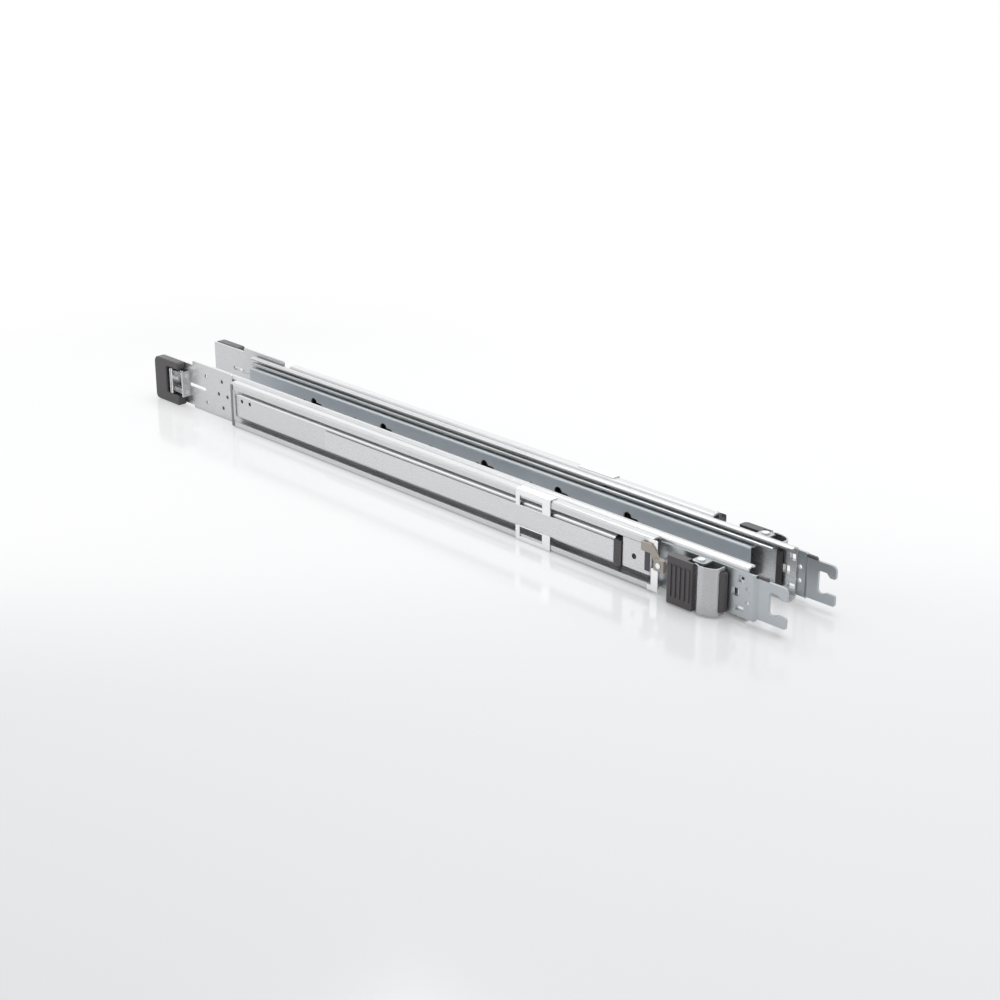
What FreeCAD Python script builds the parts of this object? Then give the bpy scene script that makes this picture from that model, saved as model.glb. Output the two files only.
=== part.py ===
import FreeCAD, Part
import math
import os

V = FreeCAD.Vector
os.makedirs("parts", exist_ok=True)

# The pair stands on its lower edges. X runs from the rear rack posts to the front ones, and Z is up.
# Every piece is drawn once, for the left rail, by its depth inward from that rail's outer face.
pair_width = 76.0
rail_height = 42.0
slide_length = 604.0
front_reach = 68.5
rear_reach = 68.5

mid_z = rail_height / 2
overall_length = slide_length + front_reach + rear_reach
x_front = overall_length / 2 - front_reach
x_rear = x_front - slide_length
x_hook_tip = x_front + front_reach
x_guard_end = x_rear - rear_reach

# Lipped channel on the outside, with the strip that covers its middle
channel_sheet = 1.5
channel_depth = 9.4
channel_lip = 6.0
channel_front = x_front - 48.0
channel_rear = x_rear + 48.5
strip_height = 16.5
strip_sheet = 1.2
strip_front = x_front - 86.1
strip_rear = x_rear + 180.5
bend = 0.8

# Ball slide: sheets, raceways and the gaps between the nested members
outer_sheet = 1.4
middle_sheet = 1.3
inner_sheet = 1.4
outer_width = 8.2
inner_width = 12.8
lip_gap = 0.8
cage_sheet = 0.5
web_gap = 0.3
outer_ball = 3.5
inner_ball = 3.0
ball_play = 0.06
outer_track_gap = 2.3
inner_track_gap = 2.0
bumper_length = 5.0
end_gap = 0.3
outer_lead = 33.0
middle_lead = 17.0
inner_shortfall = 1.0
cage_length = 300.0
balls_per_row = 4
ball_flat = 0.92

# Rear bracket that slides in the channel, and its plate on the rack post
extension_sheet = 1.6
extension_play = 0.2
extension_trim = 3.0
land_height = 20.0
land_depth = 1.7
slot_margin = 21.9
rivet_pitch = 45.0
rivet_count = 3
step_gap = 3.5
step_run = 2.0
plate_offset = 20.0
plate_play = 0.1
rear_plate_rise = 3.0
rear_plate_length = 60.0

# Front bracket and hook
bracket_sheet = 2.0
bracket_trim = 3.5
bracket_rear = x_front - 47.0
joggle_start = x_front + 40.5
joggle_run = 3.0
hook_height = 31.0
hook_mouth = 17.0
hook_web = 9.5
hook_claw = 5.0
tip_drop = 3.0
sill_rise = 1.5
tip_round = 1.5
mouth_round = 2.5
hook_round = 4.0

# Rack-hole pattern: hole pitch of a server rack and the pins that enter it
rack_pitch = 15.875
pin_radius = 2.6
pin_travel = 5.0
fit = 0.05

# Front latch
pivot_x = x_front - 3.0
pivot_depth = 2.0
pivot_radius = 1.5
latch_sheet = 1.2
latch_trim = 1.2
latch_top_trim = 4.0
latch_tail = 0.5
latch_nose = 18.0
crown_x = pivot_x + 4.5
crown_rise = 1.6
crown_base = 0.5
crown_steps = 5
spring_round = 2.5
tail_length = 12.0
tail_inset = 6.0
lug_half = 4.5
claw_gap = 1.2
pin_head = 1.2
grip_length = 25.5
grip_proud = 7.0
grip_wall = 2.0
grip_skirt = 0.5
grip_rise = 0.8
grip_ribs = 5
grip_ear_gap = 1.0

# Small studs, rivets, clearance holes and bends are drawn with few flats, and keyholes with more
stud_flat_count = 8
keyhole_flat_count = 12
bend_flat_count = 3
true_arc_radius = 3.0
slight_turn = math.radians(22.0)

# Keyholes for the server's studs, round holes beside them, and rivets
keyhole_entry = 4.2
keyhole_seat = 2.5
keyhole_run = 9.0
keyhole_rise = 1.6
keyhole_places = [x_rear + share * slide_length for share in (0.172, 0.330, 0.541, 0.682, 0.806)]
small_holes = [x_rear + share * slide_length for share in (0.142, 0.260, 0.424, 0.520, 0.624)]
small_hole_radius = 1.7
rivet_shank = 1.6
rivet_head = 2.9
rivet_rise = 1.0
joint_rivets = [x_rear + 76.0, x_rear + 150.0, x_front - 70.0, x_front - 30.0, x_front - 14.0]
shoulder_shank = 1.6
shoulder_radius = 2.4
first_shoulder = x_rear + 202.0
strip_rivet_places = [first_shoulder + i * rivet_pitch for i in range(rivet_count)]

# Guide clips, stop block, bridge plate and lock lever
clip_rear = x_front - 189.0
clip_length = 37.5
clip_sheet = 0.8
clip_leg_rear = 4.5
clip_leg_front = 8.5
clip_header = 4.0
clip_reach = 7.0
clip_gap = 0.0
stop_length = 7.6
stop_height = 20.0
base_sheet = 1.6
base_drop = 8.5
base_gap = 0.3
base_hole = 2.2
lock_x = x_front - 39.0
lock_z = mid_z + 3.5
lock_pin = 1.5
lock_sheet = 1.6
lock_play = 0.6
lock_hub = 4.5
lock_rise = 14.0
lock_run = 18.0
lock_tab = 5.0
tab_rise = 1.0

# Hook, ears and holes of the front bracket
hook_offset = bracket_sheet
ear_sheet = 1.5
ear_half = 6.0
ear_reach = 4.5
ear_round = 2.5
plate_hole = 1.8
plate_holes = [(x_front + 35.3, mid_z + 5.0), (x_front + 35.3, mid_z - 5.5)]
slot_hole = (x_front + 28.8, mid_z - 11.2)
square_holes = [(x_front + 29.5, mid_z + 11.5, 2.6), (x_front + 24.3, mid_z + 0.5, 3.1)]
claw_width = 2.8
claw_inset = 3.5
spring_sheet = 0.4
spring_reach = 13.0
spring_rise = 5.0
spring_drop = 12.0
spring_width = 6.0

# Rear plate, its folded flanges, guard, pins and springs
flange_x = x_rear - 43.0
flange_reach = 1.5
neck_margin = 4.05
pin_room = 17.0
pin_depth = 3.2
guard_back = 14.0
guard_window = 4.5
yoke_sheet = 1.6
spring_wire = 0.35
spring_gap = 0.1
guard_play = 0.6
land_slope = 0.8
slot_start = 16.0
slot_end = 18.0
slot_z = mid_z + 0.6
slot_radius = 1.6
backing_inset = 2.0
backing_top = 4.0
land_holes = [(13.6, mid_z + 5.7), (25.0, mid_z + 5.7)]
plate_rear = x_rear - plate_offset
wall_x = flange_x + pin_room
d_rear_plate = channel_depth - plate_play - extension_sheet / 2
bumper_height = 14.0
bumper_inset = 2.0
front_bumper_height = 28.0
front_bumper_length = 4.5
front_bumper_lip = 0.8
rear_plate_holes = [(20.0, mid_z + 13.5), (44.5, mid_z + 13.8), (39.0, mid_z + 1.2), (52.0, mid_z + 1.0),
                    (20.5, mid_z - 11.5), (45.0, mid_z - 11.0)]
pin_heights = [mid_z + 1.5 - rack_pitch / 2, mid_z + 1.5 + rack_pitch / 2]

# Depths of the nested members, counted inward from the outer face
d_outer = channel_depth
d_outer_cage = d_outer + outer_sheet + web_gap
d_middle = d_outer_cage + cage_sheet + web_gap
d_inner_cage = d_middle + middle_sheet + web_gap
d_inner_edge = d_inner_cage + cage_sheet + web_gap + 0.1
d_outer_lip = d_outer + outer_width
d_inner_face = d_outer + inner_width
d_plate_out = channel_depth - bracket_sheet
d_middle_lip = d_inner_face - inner_sheet - lip_gap
d_outer_track = (d_outer + outer_sheet + d_outer_lip) / 2
d_inner_track = (d_inner_edge + d_inner_face - inner_sheet) / 2

# Heights of the upper raceways; the lower ones mirror them about mid_z
outer_groove = outer_ball / 2 + ball_play
inner_groove = inner_ball / 2 + ball_play
z_outer_track = rail_height - outer_sheet - outer_groove
z_outer_flange = z_outer_track + outer_track_gap / 2
z_middle_flange = z_outer_track - outer_track_gap / 2
z_inner_track = z_middle_flange - middle_sheet - inner_track_gap / 2
z_inner_flange = z_inner_track - inner_track_gap / 2
middle_rear = x_rear + bumper_length + end_gap

# Heights of the brackets, the latch and the rear plate, which follow the rail's
bracket_low, bracket_high = bracket_trim, rail_height - bracket_trim
extension_low, extension_high = extension_trim, rail_height - extension_trim
latch_low, latch_high = latch_trim, rail_height - latch_top_trim
rear_plate_high = rail_height + rear_plate_rise
neck_low, neck_high = pin_heights[0] - neck_margin, pin_heights[1] + neck_margin
outer_front = x_front + outer_lead
middle_front = x_front + middle_lead
inner_front = x_front - inner_shortfall


def y_at(depth):
    """Y of a point this far inward from the left rail's outer face."""
    return depth - pair_width / 2


def round_edges(start, middle, end):
    """Edges of a rounded corner: one arc, or a few flats where its radius is small."""
    arc = Part.Arc(start, middle, end).toShape()
    if arc.Curve.Radius >= true_arc_radius:
        return [arc]
    points = arc.discretize(Number=bend_flat_count + 1)
    return [Part.LineSegment(p, q).toShape() for p, q in zip(points, points[1:])]


def outline(corners, place):
    """Closed face through corners (a, b, radius), rounded where the outline really turns."""
    edges = []
    spans = []
    count = len(corners)
    for i in range(count):
        before = corners[i - 1]
        a, b, radius = corners[i]
        after = corners[(i + 1) % count]
        ux, uy = before[0] - a, before[1] - b
        vx, vy = after[0] - a, after[1] - b
        ul, vl = math.hypot(ux, uy), math.hypot(vx, vy)
        ux, uy, vx, vy = ux / ul, uy / ul, vx / vl, vy / vl
        half = math.acos(max(-1.0, min(1.0, ux * vx + uy * vy))) / 2
        if radius <= 0 or half > (math.pi - slight_turn) / 2:
            spans.append((place(a, b), None, place(a, b)))
            continue
        run = radius / math.tan(half)
        mx, my = ux + vx, uy + vy
        ml = math.hypot(mx, my)
        reach = radius / math.sin(half) - radius
        middle = place(a + mx / ml * reach, b + my / ml * reach)
        spans.append((place(a + ux * run, b + uy * run), middle, place(a + vx * run, b + vy * run)))
    for i, (start, middle, end) in enumerate(spans):
        if middle is not None:
            edges += round_edges(start, middle, end)
        following = spans[(i + 1) % count][0]
        if end.distanceToPoint(following) > 1e-6:
            edges.append(Part.LineSegment(end, following).toShape())
    return Part.Face(Part.Wire(edges))


def bent_sheet(path, thick, radius):
    """Corners of a folded sheet: both sides of its centre line, with rounded bends."""
    sides = ([], [])
    for side, sign in ((0, 1), (1, -1)):
        for i, (a, b) in enumerate(path):
            near = path[max(i - 1, 0)]
            far = path[min(i + 1, len(path) - 1)]
            normals = []
            for p, q in ((near, (a, b)), ((a, b), far)):
                length = math.hypot(q[0] - p[0], q[1] - p[1])
                if length > 0:
                    normals.append((-(q[1] - p[1]) / length, (q[0] - p[0]) / length))
            n, m = normals[0], normals[-1]
            grow = sign * thick / 2 / (1 + n[0] * m[0] + n[1] * m[1])
            turn = n[0] * m[1] - n[1] * m[0]
            rounding = 0.0
            if abs(turn) > 1e-9:
                rounding = radius if turn * sign > 0 else radius + thick
            sides[side].append((a + (n[0] + m[0]) * grow, b + (n[1] + m[1]) * grow, rounding))
    return sides[0] + sides[1][::-1]


def bar_x(corners, x0, x1):
    """A section of corners (depth, z, radius) run along the rail."""
    face = outline(corners, lambda d, z: V(x0, y_at(d), z))
    return face.extrude(V(x1 - x0, 0, 0))


def bar_y(corners, d0, d1):
    """A side view of corners (x, z, radius) given a depth."""
    face = outline(corners, lambda x, z: V(x, y_at(d0), z))
    return face.extrude(V(0, d1 - d0, 0))


def bar_z(corners, z0, z1):
    """A plan view of corners (x, depth, radius) given a height."""
    face = outline(corners, lambda x, d: V(x, y_at(d), z0))
    return face.extrude(V(0, 0, z1 - z0))


def rectangle(a0, a1, b0, b1, radius=0.0):
    """Corners of a rectangle with equal rounded corners."""
    return [(a0, b0, radius), (a1, b0, radius), (a1, b1, radius), (a0, b1, radius)]


def block(x0, x1, d0, d1, z0, z1):
    return bar_z(rectangle(x0, x1, d0, d1), z0, z1)


def rod_x(depth, z, radius, x0, x1):
    return Part.makeCylinder(radius, x1 - x0, V(x0, y_at(depth), z), V(1, 0, 0))


def rod_y(x, z, radius, d0, d1):
    return Part.makeCylinder(radius, d1 - d0, V(x, y_at(d0), z), V(0, 1, 0))


def rod_z(x, depth, radius, z0, z1):
    return Part.makeCylinder(radius, z1 - z0, V(x, y_at(depth), z0), V(0, 0, 1))


def ring(a, b, radius, flats):
    """Corners of a round shape drawn with flats that touch its circle from outside."""
    reach = radius / math.cos(math.pi / flats)
    turn = 2 * math.pi / flats
    return [(a + reach * math.cos(turn * (i + 0.5)), b + reach * math.sin(turn * (i + 0.5)), 0.0)
            for i in range(flats)]


def stud_x(depth, z, radius, x0, x1):
    return bar_x(ring(depth, z, radius, stud_flat_count), x0, x1)


def stud_y(x, z, radius, d0, d1):
    return bar_y(ring(x, z, radius, stud_flat_count), d0, d1)


def stud_z(x, depth, radius, z0, z1):
    return bar_z(ring(x, depth, radius, stud_flat_count), z0, z1)


def slot_y(x0, x1, z, radius, d0, d1):
    """A cutter for a slot with round ends, from end centre x0 to end centre x1."""
    return bar_y(rectangle(x0 - radius, x1 + radius, z - radius, z + radius, radius * 0.999), d0, d1)


def upside_down(shape):
    """The lower half of a profile, from its upper half."""
    return shape.mirror(V(0, 0, mid_z), V(0, 0, 1))


def raceway(depth, z, groove, sheet, x0, x1, from_z, to_z):
    """Wall of a rolled raceway: the part of a rib around the groove that lies between two heights."""
    rib = rod_x(depth, z, groove + sheet, x0, x1)
    reach = groove + sheet
    return rib.common(block(x0, x1, depth - reach, depth + reach, from_z, to_z))


nodes = {}


def front_windows():
    """Cutters for the two square holes and the short slot near the hook, through plate and slide alike."""
    d0, d1 = 0, d_middle
    cuts = [bar_y(rectangle(x - half, x + half, z - half, z + half), d0, d1) for x, z, half in square_holes]
    x, z = slot_hole
    cuts.append(block(x - 2 * plate_hole, x + 2 * plate_hole, d0, d1, z - plate_hole, z + plate_hole))
    return cuts


def make_outer_member():
    """Channel open to the inside, with a raceway rolled into each flange and rivet holes in its web."""
    d_web = d_outer + outer_sheet / 2
    z_top = z_outer_flange + outer_sheet / 2
    z_low = rail_height - z_top
    path = [(d_outer_lip, z_low), (d_web, z_low), (d_web, z_top), (d_outer_lip, z_top)]
    body = bar_x(bent_sheet(path, outer_sheet, bend), x_rear, outer_front)
    rib = raceway(d_outer_track, z_outer_track, outer_groove, outer_sheet, x_rear, outer_front,
                  z_outer_flange, rail_height)
    body = body.fuse([rib, upside_down(rib)])
    groove = rod_x(d_outer_track, z_outer_track, outer_groove, x_rear, outer_front)
    body = body.cut([groove, upside_down(groove)])
    holes = [stud_y(x, mid_z, rivet_shank + fit, d_outer - 1, d_middle) for x in joint_rivets]
    nodes["outer_member"] = body.cut(holes + front_windows()).removeSplitter()


def make_middle_member():
    """Channel inside the outer member: outer balls run on its outside, inner balls on its inside."""
    d_web = d_middle + middle_sheet / 2
    z_top = z_middle_flange - middle_sheet / 2
    z_low = rail_height - z_top
    path = [(d_middle_lip, z_low), (d_web, z_low), (d_web, z_top), (d_middle_lip, z_top)]
    body = bar_x(bent_sheet(path, middle_sheet, bend), middle_rear, middle_front)
    keep = block(middle_rear, middle_front, d_middle, d_middle_lip, 0, rail_height)
    under = raceway(d_outer_track, z_outer_track, outer_groove, middle_sheet, middle_rear, middle_front,
                    mid_z, z_middle_flange)
    over = raceway(d_inner_track, z_inner_track, inner_groove, middle_sheet, middle_rear, middle_front,
                   z_inner_track + inner_track_gap / 2, rail_height)
    ribs = under.fuse(over).common(keep)
    body = body.fuse([ribs, upside_down(ribs)])
    outside = rod_x(d_outer_track, z_outer_track, outer_groove, middle_rear, middle_front)
    inside = rod_x(d_inner_track, z_inner_track, inner_groove, middle_rear, middle_front)
    body = body.cut([outside, upside_down(outside), inside, upside_down(inside)])
    nodes["middle_member"] = body.removeSplitter()
    z0, z1 = mid_z - front_bumper_height / 2, mid_z + front_bumper_height / 2
    d_front = d_middle + middle_sheet + front_bumper_lip
    nodes["front_bumper"] = block(middle_front, middle_front + front_bumper_length, d_middle, d_front, z0, z1)


def keyhole(x):
    """Cutter for a server stud: round entry, and a narrower seat forward of it and lower."""
    d0, d1 = d_inner_edge, d_inner_face + 1
    back, front = x - keyhole_run / 2, x + keyhole_run / 2
    entry = bar_y(ring(back, mid_z + keyhole_rise, keyhole_entry, keyhole_flat_count), d0, d1)
    neck = block(back, front, d0, d1, mid_z - keyhole_seat, mid_z + keyhole_seat)
    seat = stud_y(front, mid_z, keyhole_seat, d0, d1)
    return entry.fuse([neck, seat])


def make_inner_member():
    """Channel open to the outside, whose flat web faces the server and holds its studs."""
    d_web = d_inner_face - inner_sheet / 2
    z_top = z_inner_flange - inner_sheet / 2
    z_low = rail_height - z_top
    path = [(d_inner_edge, z_low), (d_web, z_low), (d_web, z_top), (d_inner_edge, z_top)]
    body = bar_x(bent_sheet(path, inner_sheet, bend), middle_rear, inner_front)
    keep = block(middle_rear, inner_front, d_inner_edge, d_inner_face, 0, rail_height)
    rib = raceway(d_inner_track, z_inner_track, inner_groove, inner_sheet, middle_rear, inner_front,
                  mid_z, z_inner_flange).common(keep)
    body = body.fuse([rib, upside_down(rib)])
    groove = rod_x(d_inner_track, z_inner_track, inner_groove, middle_rear, inner_front)
    cuts = [groove, upside_down(groove)]
    cuts += [keyhole(x) for x in keyhole_places]
    cuts += [stud_y(x, mid_z, small_hole_radius, d_inner_edge, d_inner_face + 1) for x in small_holes]
    nodes["inner_member"] = body.cut(cuts).removeSplitter()


def ball_places(count, length):
    """X of each ball in a row, evenly spaced over the cage."""
    pitch = length / (count + 1)
    return [(i + 1) * pitch - length / 2 for i in range(count)]


def faceted_ball(radius, centre):
    """Steel ball drawn with few flats: a cube cut by itself turned half a right angle about two axes."""
    half = radius * ball_flat
    cube = Part.makeBox(2 * half, 2 * half, 2 * half, V(-half, -half, -half))
    ball = cube.copy()
    for axis in (V(1, 0, 0), V(0, 1, 0)):
        turned = cube.copy()
        turned.rotate(V(0, 0, 0), axis, 45)
        ball = ball.common(turned)
    ball.translate(centre)
    return ball


def make_cage(name, d_web, d_lip, d_track, z_track, ball):
    """Ball retainer: one thin folded strip with a hole for each ball, and its balls."""
    d_mid = d_web + cage_sheet / 2
    z_under = rail_height - z_track
    path = [(d_lip, z_under), (d_mid, z_under), (d_mid, z_track), (d_lip, z_track)]
    strip = bar_x(bent_sheet(path, cage_sheet, cage_sheet / 2), -cage_length / 2, cage_length / 2)
    places = ball_places(balls_per_row, cage_length)
    half = ball / 2 + fit
    holes = [block(x - half, x + half, d_track - half, d_track + half, -1, rail_height + 1) for x in places]
    nodes[name + "_cage"] = strip.cut(holes)
    upper = [faceted_ball(ball / 2, V(x, y_at(d_track), z_track)) for x in places]
    lower = [faceted_ball(ball / 2, V(x, y_at(d_track), rail_height - z_track)) for x in places]
    nodes[name + "_balls"] = Part.makeCompound(upper + lower)


def make_cages():
    """The two retainers, each midway between the members whose balls it holds."""
    make_cage("outer", d_outer_cage, d_outer_lip - lip_gap, d_outer_track, z_outer_track, outer_ball)
    make_cage("inner", d_inner_cage, d_middle_lip - lip_gap, d_inner_track, z_inner_track, inner_ball)


def make_support_channel():
    """Lipped channel, open to the outside, riveted to the slide's back."""
    t = channel_sheet
    path = [(t / 2, channel_lip), (t / 2, t / 2), (channel_depth - t / 2, t / 2),
            (channel_depth - t / 2, rail_height - t / 2), (t / 2, rail_height - t / 2),
            (t / 2, rail_height - channel_lip)]
    body = bar_x(bent_sheet(path, t, bend), channel_rear, channel_front)
    holes = [stud_y(x, mid_z, rivet_shank + fit, 0, channel_depth + 1) for x in joint_rivets[:-2]]
    holes += [stud_y(x, mid_z, shoulder_shank + fit, 0, channel_depth + 1) for x in strip_rivet_places]
    nodes["support_channel"] = body.cut(holes)


def make_rivets(places, d_head, d_end):
    """Rivets along the middle of the web: a low domed head outside, the shank set flush inside."""
    rivets = []
    for x in places:
        head = stud_y(x, mid_z, rivet_head, d_head - rivet_rise, d_head)
        rivets.append(head.fuse(stud_y(x, mid_z, rivet_shank, d_head, d_end)))
    return rivets


def make_joint_rivets():
    d_end = d_outer + outer_sheet
    in_channel = make_rivets(joint_rivets[:-2], channel_depth - channel_sheet, d_end)
    in_bracket = make_rivets(joint_rivets[-2:], channel_depth - bracket_sheet, d_end)
    nodes["channel_rivets"] = Part.makeCompound(in_channel + in_bracket)


def make_guide_strip():
    """Long flat strip over the middle of the channel."""
    t = strip_sheet
    body = bar_x(rectangle(0, t, mid_z - strip_height / 2, mid_z + strip_height / 2), strip_rear, strip_front)
    holes = [stud_y(x, mid_z, shoulder_shank + fit, -1, t + 1) for x in strip_rivet_places]
    nodes["guide_strip"] = body.cut(holes)


def make_strip_rivets():
    """Shoulder rivets: each shoulder spaces the strip from the channel and guides the bracket's slot."""
    rivets = []
    d_web = channel_depth - channel_sheet
    for x in strip_rivet_places:
        shoulder = stud_y(x, mid_z, shoulder_radius, strip_sheet, d_web)
        shank = stud_y(x, mid_z, shoulder_shank, 0, channel_depth)
        rivets.append(shoulder.fuse(shank))
    nodes["strip_rivets"] = Part.makeCompound(rivets)


def make_guide_clips():
    """Two bright clips: window frames on the channel's lips, the upper one hooked over the flange."""
    z_strip = mid_z + strip_height / 2
    x0, x1 = clip_rear, clip_rear + clip_length
    plate = block(x0, x1, -clip_sheet, 0, z_strip + clip_gap, rail_height + clip_sheet)
    w0, w1 = x0 + clip_leg_rear, x1 - clip_leg_front
    window = block(w0, w1, -clip_sheet - 1, 1, z_strip + clip_gap + clip_sheet, rail_height - clip_header)
    over = block(x0, x1, -clip_sheet, clip_reach, rail_height, rail_height + clip_sheet)
    stub = block(x0, x1, -clip_sheet, strip_sheet, z_strip + clip_gap, z_strip + clip_gap + clip_sheet)
    upper = plate.fuse([over, stub]).cut(window).removeSplitter()
    z_low = mid_z - strip_height / 2 - clip_gap
    plate = block(x0, x1, -clip_sheet, 0, 0, z_low)
    window = block(w0, w1, -clip_sheet - 1, 1, clip_header, z_low - clip_sheet)
    stub = block(x0, x1, -clip_sheet, strip_sheet, z_low - clip_sheet, z_low)
    lower = plate.fuse(stub).cut(window).removeSplitter()
    nodes["guide_clips"] = Part.makeCompound([upper, lower])


def make_stop_block():
    """Dark block that the sliding bracket stops against when it is pushed right in."""
    d_web = channel_depth - channel_sheet
    z0, z1 = mid_z - stop_height / 2, mid_z + stop_height / 2
    nodes["stop_block"] = block(strip_front + end_gap, strip_front + stop_length, 0, d_web, z0, z1)


def make_latch_base():
    """Bridge plate in front of the stop block: face flush with the strip, sides standing on the channel."""
    t = base_sheet
    d_web = channel_depth - channel_sheet
    x0 = strip_front + stop_length + end_gap + t / 2
    x1 = channel_front - 1.0 - t / 2
    path = [(x0, d_web), (x0, t / 2), (x1, t / 2), (x1, d_web)]
    body = bar_z(bent_sheet(path, t, bend), mid_z - base_drop, rail_height - channel_lip - base_gap)
    hole = stud_y((x0 + x1) / 2 - 2.0, mid_z + 2.0, base_hole, -1, d_web)
    nodes["latch_base"] = body.cut(hole)


def make_front_bracket():
    """Mounting plate, joggled inward to the hook plate; two ears folded out of it carry the latch pin."""
    t = bracket_sheet
    d_plate = d_plate_out + t / 2
    d_hook = d_plate + hook_offset
    path = [(bracket_rear, d_plate), (joggle_start, d_plate), (joggle_start + joggle_run, d_hook),
            (x_hook_tip, d_hook)]
    low, high = bracket_low, bracket_high
    blank = bar_z(bent_sheet(path, t, bend), low, high)
    x_step = joggle_start + joggle_run / 2
    x_web = joggle_start + joggle_run + hook_web
    mouth_low = mid_z - hook_mouth / 2
    mouth_high = mid_z + hook_mouth / 2
    hook_low = mid_z - hook_height / 2
    hook_high = mid_z + hook_height / 2
    claw_rear = x_hook_tip - hook_claw
    side = [(bracket_rear, low, 0), (x_step, low, 0), (x_step, hook_low, 0),
            (x_hook_tip, hook_low, tip_round), (x_hook_tip, mouth_low + sill_rise, tip_round),
            (claw_rear - tip_drop, mouth_low + sill_rise, 0), (claw_rear - 2 * tip_drop, mouth_low, 0),
            (x_web, mouth_low, mouth_round), (x_web, mouth_high, mouth_round),
            (claw_rear - tip_drop, mouth_high, 0), (claw_rear, mouth_high - tip_drop, 0),
            (x_hook_tip, mouth_high - tip_drop, tip_round), (x_hook_tip, hook_high, hook_round),
            (x_step, hook_high, 0), (x_step, high, 0), (bracket_rear, high, 0)]
    shape = blank.common(bar_y(side, d_plate - t, d_hook + t))
    ears = []
    rear, front = pivot_x - ear_half, pivot_x + ear_half
    for z0 in (low, high - ear_sheet):
        plan = [(rear, d_plate, 0), (rear, pivot_depth - ear_reach, ear_round),
                (front, pivot_depth - ear_reach, ear_round), (front, d_plate, 0)]
        ears.append(bar_z(plan, z0, z0 + ear_sheet))
    shape = shape.fuse(ears)
    cuts = [rod_y(x, z, plate_hole, 0, d_hook + 1) for x, z in plate_holes] + front_windows()
    cuts += [stud_y(x, mid_z, rivet_shank + fit, 0, d_hook + 1) for x in joint_rivets[-2:]]
    cuts.append(stud_z(pivot_x, pivot_depth, pivot_radius + fit, 0, rail_height))
    cuts.append(stud_y(lock_x, lock_z, lock_pin + fit, 0, channel_depth + 1))
    nodes["front_bracket"] = shape.cut(cuts).removeSplitter()


def make_latch():
    """Front latch: curved steel lever, dark grip around its rear end, dark claw on its front edge."""
    low, high = latch_low, latch_high
    ear_low, ear_high = bracket_low, bracket_high
    t = latch_sheet
    d_tail = -grip_proud + grip_wall + t / 2
    x_tail = pivot_x - latch_tail
    x_nose = pivot_x + latch_nose
    d_crown = d_tail - crown_rise
    crown = [(x_tail - tail_length, d_tail), (x_tail + t, d_tail)]
    for i in range(crown_steps + 1):
        turn = math.pi / 2 * i / crown_steps
        crown.append((crown_x + (x_nose - crown_x) * math.sin(turn),
                      crown_base - (crown_base - d_crown) * math.cos(turn)))
    crown.append((x_nose, d_plate_out - claw_gap))
    leaf = bar_z(bent_sheet(crown, t, bend), low, high)
    lugs = []
    for z0 in (ear_low + ear_sheet + web_gap, ear_high - ear_sheet - web_gap - t):
        rear, front, foot = pivot_x - lug_half, pivot_x + lug_half, pivot_depth + lug_half * 0.7
        lugs.append(block(rear, front, d_tail, foot, z0, z0 + t))
    leaf = leaf.fuse(lugs)
    tails = [block(x_tail - tail_length, x_tail, d_tail - t, d_tail + t, z0, z0 + tail_inset)
             for z0 in (low, high - tail_inset)]
    leaf = leaf.cut(tails + [stud_z(pivot_x, pivot_depth, pivot_radius + fit, 0, rail_height)])
    nodes["latch_leaf"] = leaf.removeSplitter()
    make_latch_grip(x_tail, d_tail, low, high)
    x0 = x_nose + t / 2
    x1 = x0 + claw_width
    d_foot = d_plate_out - claw_gap
    plan = [(x0, 0, 0), (x1 - tip_round, 0, tip_round), (x1, 2 * tip_round, 0), (x1, d_foot, 0), (x0, d_foot, 0)]
    nodes["latch_claw"] = bar_z(plan, low + claw_inset, high - claw_inset)
    pin = rod_z(pivot_x, pivot_depth, pivot_radius, ear_low - pin_head, ear_high + pin_head)
    reach = pivot_radius + pin_head
    heads = [stud_z(pivot_x, pivot_depth, reach, ear_high, ear_high + pin_head),
             stud_z(pivot_x, pivot_depth, reach, ear_low - pin_head, ear_low)]
    nodes["latch_pivot"] = pin.fuse(heads).removeSplitter()


def make_latch_grip(x_tail, d_tail, low, high):
    """Moulded grip: a ribbed shell open towards the rail, with a slit that takes the lever's tail."""
    x0, x1 = x_tail - grip_length, x_tail
    d0 = -grip_proud
    plan = [(x0, grip_skirt, 0), (x0, d0 + grip_wall, grip_wall), (x0 + grip_wall, d0, grip_wall),
            (x1, d0, 0), (x1, grip_skirt, 0)]
    body = bar_z(plan, low, high)
    hollow = block(x0 + grip_wall, x1, d0 + grip_wall, grip_skirt, low + grip_wall, high - grip_wall)
    x_ears = pivot_x - ear_half - grip_ear_gap
    hollow = hollow.fuse(block(x_ears, x1, d0 + grip_wall, grip_skirt, low, high))
    pitch = (grip_length - 2 * grip_wall) / grip_ribs
    ribs = []
    for i in range(grip_ribs):
        x = x0 + 2 * grip_wall + i * pitch
        ribs.append(block(x, x + pitch / 2, d0 - grip_rise, d0, low + tail_inset, high - tail_inset))
    d_bridge = d_tail + grip_wall
    bridge = block(x0 + grip_wall, x1, d0 + grip_wall, d_bridge, mid_z - grip_wall, mid_z + grip_wall)
    notch = block(x_tail - tail_length, x1, d_tail - latch_sheet / 2, d_tail + latch_sheet / 2,
                  low + tail_inset, high - tail_inset)
    nodes["latch_grip"] = body.cut(hollow).fuse(ribs + [bridge]).cut(notch).removeSplitter()


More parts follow.
